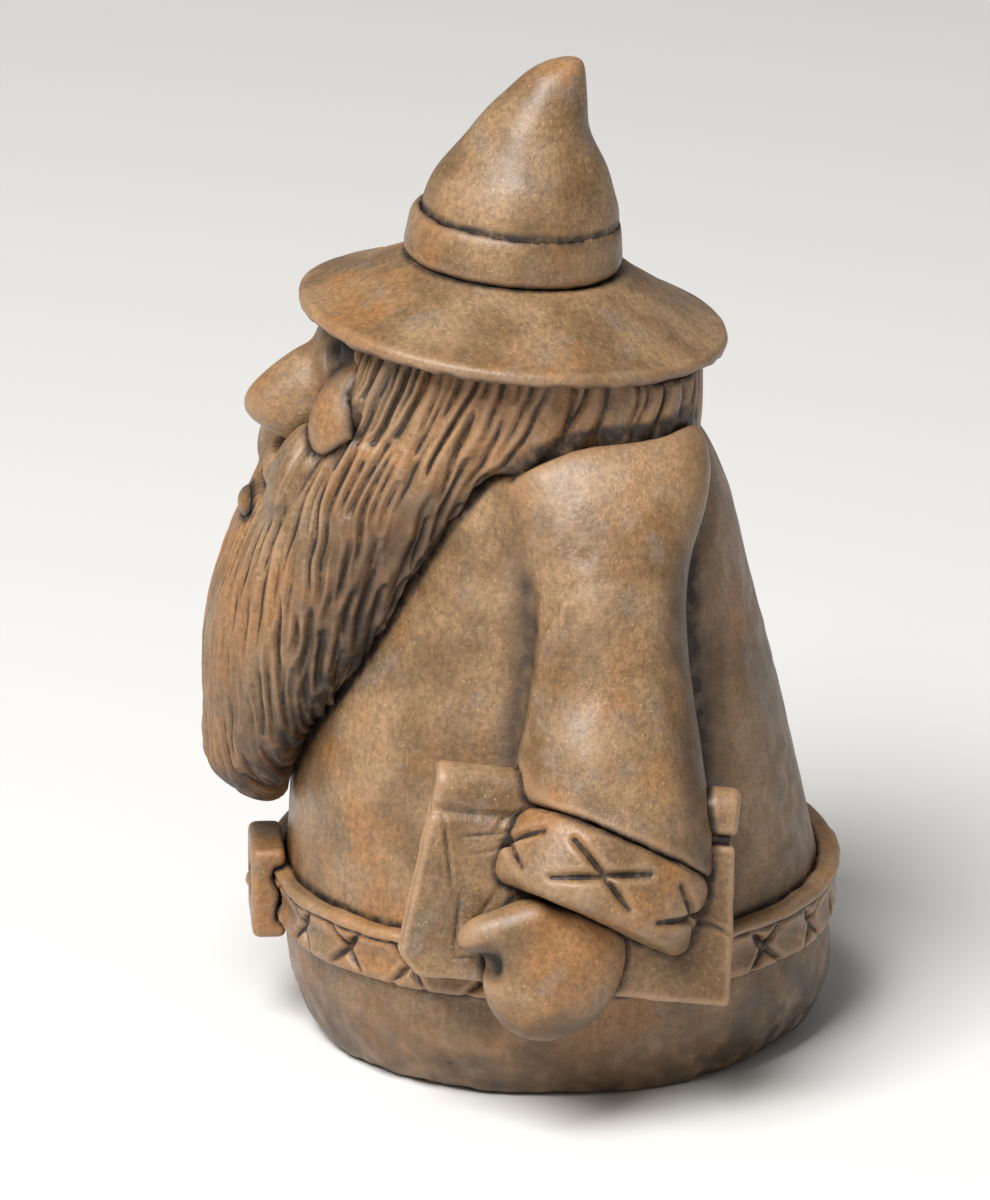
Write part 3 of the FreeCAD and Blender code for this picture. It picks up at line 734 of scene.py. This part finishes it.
# Cuffs, with crosses scratched round them. A start is a point on a cuff's axis, 1 for the left one.
CUFF_PITCH = math.radians(26.0)
CUFF_SPLAY = math.radians(24.0)
CUFF_CROSSES = [88.0, 13.0, -62.0, -128.0, 165.0]
CUFF_STARTS = {1: (26.6, 4.1, 26.4), -1: (-22.6, 4.1, 26.4)}
CUFF_RADIUS = 9.0
CUFF_MIDDLE = 3.9
CUFF_FIRST_HALF, CUFF_SECOND_HALF = (3.4, 4.0), (4.0, 4.6)
CUFF_FIRST_TOP, CUFF_SECOND_TOP, CUFF_CROSS_FOOT = -2.0, -1.8, 1.9
CUFF_GROOVE = {"width": 0.42, "depth": 0.85, "burr": 0.05}


def cuff_sculpt(side):
    axis = np.array([side * math.tan(CUFF_SPLAY), -math.tan(CUFF_PITCH), -1.0])
    axis /= np.linalg.norm(axis)
    across = np.array([side, 0.0, 0.0]) - axis * axis[0] * side
    across /= np.linalg.norm(across)
    along = np.cross(axis, across) * side

    def sculpt(points, normals):
        from_start = points - CUFF_STARTS[side]
        down = from_start @ axis
        turn = np.arctan2(from_start @ along, from_start @ across)
        chance = np.random.default_rng(84)
        push = hand_marks(points, 81, "cuff")
        for angle in CUFF_CROSSES:
            away = (turn - math.radians(angle) + math.pi) % (2 * math.pi) - math.pi
            places = np.stack([away * CUFF_RADIUS, down - CUFF_MIDDLE], axis=1)
            first, second = chance.uniform(*CUFF_FIRST_HALF), chance.uniform(*CUFF_SECOND_HALF)
            marks = [((first, CUFF_FIRST_TOP), (-first, CUFF_CROSS_FOOT)),
                     ((second, CUFF_CROSS_FOOT), (-second, CUFF_SECOND_TOP))]
            push = push + cut_marks(places, marks, **CUFF_GROOVE)
        return push

    return sculpt


# Hands, with the thumb worked into them and a deep notch under it
NOTCHES = {1: (33.0, -7.8, 17.1), -1: (-29.0, -7.8, 17.1)}
NOTCH_SIZE = 1.3
NOTCH_DEPTH = 1.0
# Painted shade in the notch under the thumb
NOTCH_PAINTED_SHADE = 0.9
THUMB_REACH, THUMB_SPAN = 3.0, (0.1, 0.8)


def notch_at(points, side):
    return bump_at(np.linalg.norm(points - NOTCHES[side], axis=1), 0, NOTCH_SIZE)


def thumb_weight(name, side):
    def weight(points):
        meeting = np.minimum(nearness(points, name + "_hand", THUMB_REACH),
                             nearness(points, name + "_thumb", THUMB_REACH))
        return rise(meeting, *THUMB_SPAN) * (1 - notch_at(points, side))
    return weight


def hand_sculpt(side):
    return lambda points, normals: hand_marks(points, 83, "hand") - NOTCH_DEPTH * notch_at(points, side)


# Painted shade under the hands and in the notch
def hand_shade(side):
    return lambda points, normals: under_shade(points, normals) + NOTCH_PAINTED_SHADE * notch_at(points, side)


# Book. Its own frame has its foot's middle at the origin, the spine along Y and its height up Z.
BOOK_FOOT = (27.2, -0.9, 12.8)
BOOK_LEAN = math.radians(-13.0)
BOOK_TURN = math.radians(-7.2)
BOOK_SPINE_LOW = 15.2
BOOK_END = 13.8
BOOK_OUTER_SPAN = (0.4, 0.8)
SCRATCHES = 26
SCRATCH_PLACES, SCRATCH_HEIGHTS, SCRATCH_LONG = (-12, 13), (2, 14), (2, 7)
SCRATCH_FLAT_TURNS, SCRATCH_STEEP_TURNS = (-0.5, 0.5), (1.0, 2.0)
SCRATCH_GROOVE = {"width": 0.22, "depth": 0.13, "burr": 0.05}
KNOB_START, KNOB_FULL = 3.0, 2.0
KNOB_PUSH, KNOB_RISE = 0.20, 1
KNOB_GROOVE, KNOB_GROOVE_HALF = 0.60, 0.42


def book_sculpt(points, normals):
    """Worn boards with fine scratches, and a knob at the back end of the rolled spine."""
    frame_turn = np.array(Matrix.Rotation(BOOK_LEAN, 3, "Y") @ Matrix.Rotation(BOOK_TURN, 3, "X"))
    local = (points - BOOK_FOOT) @ frame_turn
    chance = np.random.default_rng(92)
    marks = []
    for _ in range(SCRATCHES):
        start = np.array([chance.uniform(*SCRATCH_PLACES), chance.uniform(*SCRATCH_HEIGHTS)])
        turn = chance.choice([chance.uniform(*SCRATCH_FLAT_TURNS), chance.uniform(*SCRATCH_STEEP_TURNS)])
        direction = np.array([math.cos(turn), math.sin(turn)])
        marks.append((start, start + chance.uniform(*SCRATCH_LONG) * direction))
    outer = rise(normals[:, 0], *BOOK_OUTER_SPAN) * (local[:, 2] < BOOK_SPINE_LOW)
    scratches = cut_marks(local[:, 1:], marks, **SCRATCH_GROOVE) * outer
    end = rise(local[:, 1], BOOK_END - KNOB_START, BOOK_END - KNOB_FULL)
    knob = KNOB_PUSH * rise(local[:, 2], BOOK_SPINE_LOW, BOOK_SPINE_LOW + KNOB_RISE)
    knob -= KNOB_GROOVE * bump_at(local[:, 2], BOOK_SPINE_LOW, KNOB_GROOVE_HALF)
    return hand_marks(points, 91, "book") + scratches + end * knob


make_piece("robe", ["robe_body", "left_sleeve", "right_sleeve"], robe_clay, robe_sculpt, voxel=0.34,
           rounds=8, ease=shoulder_weight, ease_rounds=130, seam=sleeve_seam, shade=robe_shade,
           valley_rounds=500)
make_piece("hair_and_beard", ["hair", "beard", "left_moustache", "right_moustache"], hair_clay,
           hair_sculpt, voxel=0.18, rounds=14, ease=ledge_weight, ease_rounds=90, last_rounds=1, reach=1.3,
           shade=hair_shade, valley_rounds=120)
make_piece("face", ["head", "nose", "left_cheek", "right_cheek", "left_eye", "right_eye"], face_clay,
           marked(31), voxel=0.24, rounds=26, reach=1.1, shade=face_shade, valley_rounds=150, grow=0.25)
make_piece("brim", ["hat_brim"], hat_clay, brim_sculpt, voxel=0.26, rounds=10, shade=under_shade)
make_piece("crown", ["hat_crown"], hat_clay, marked(51, "crown"), voxel=0.26, rounds=8)
make_piece("band", ["hat_band"], band_clay, marked(61, "band"), voxel=0.22, rounds=8)
make_piece("belt_strip", ["belt"], band_clay, belt_sculpt, voxel=0.20, rounds=4, last_rounds=1)
make_piece("buckle", ["buckle_frame"], band_clay, marked(75), voxel=0.18, rounds=6)
make_piece("buckle_bar", ["buckle_prong"], band_clay, marked(76), voxel=0.16, rounds=6)
make_piece("cover", ["book_cover"], book_clay, book_sculpt, voxel=0.20, rounds=18, last_rounds=1)
make_piece("pages", ["book_pages"], book_clay, marked(93), voxel=0.20, rounds=6)
make_piece("lip", ["lower_lip"], face_clay, marked(33), voxel=0.14, rounds=5)
for name, side in (("left", 1), ("right", -1)):
    make_piece(name + "_cuff_band", [name + "_cuff"], band_clay, cuff_sculpt(side), voxel=0.20, rounds=14,
               last_rounds=1)
    make_piece(name + "_mitten", [name + "_hand", name + "_thumb"], face_clay, hand_sculpt(side),
               voxel=0.22, rounds=26, ease=thumb_weight(name, side), ease_rounds=200,
               shade=hand_shade(side), valley_rounds=150)

# Studio: a plain pale floor, one soft lamp from the front left and an even sky
FLOOR_SIZE = 6.0
FLOOR_COLOUR = (0.80, 0.79, 0.77, 1)
FLOOR_ROUGHNESS = 0.9
SKY_COLOUR = (1.0, 0.985, 0.96, 1)
SKY_LEVEL = 0.22
LAMP_SIZE = 0.5
LAMP_DISTANCE = 0.9
LAMP_POWER = 12.5
LAMP_AZIMUTH = math.radians(50)
LAMP_ELEVATION = math.radians(55)


def make_floor():
    form = bmesh.new()
    bmesh.ops.create_grid(form, x_segments=1, y_segments=1, size=FLOOR_SIZE / 2)
    mesh = bpy.data.meshes.new("floor")
    form.to_mesh(mesh)
    form.free()
    floor = bpy.data.objects.new("floor", mesh)
    bpy.context.collection.objects.link(floor)
    material = bpy.data.materials.new("floor_paper")
    material.use_nodes = True
    shader = material.node_tree.nodes["Principled BSDF"]
    shader.inputs["Base Color"].default_value = FLOOR_COLOUR
    shader.inputs["Roughness"].default_value = FLOOR_ROUGHNESS
    mesh.materials.append(material)


def make_light():
    world = bpy.data.worlds.new("studio")
    world.use_nodes = True
    sky = world.node_tree.nodes["Background"]
    sky.inputs["Color"].default_value = SKY_COLOUR
    sky.inputs["Strength"].default_value = SKY_LEVEL
    bpy.context.scene.world = world
    toward = outward(LAMP_AZIMUTH, LAMP_ELEVATION)
    lamp = bpy.data.objects.new("lamp", bpy.data.lights.new("lamp", "AREA"))
    bpy.context.collection.objects.link(lamp)
    lamp.data.size = LAMP_SIZE
    lamp.data.energy = LAMP_POWER
    lamp.location = CAMERA_TARGET + toward * LAMP_DISTANCE
    lamp.rotation_euler = toward.to_track_quat("Z", "Y").to_euler()


make_floor()
make_light()
bpy.context.scene.view_settings.view_transform = "Standard"
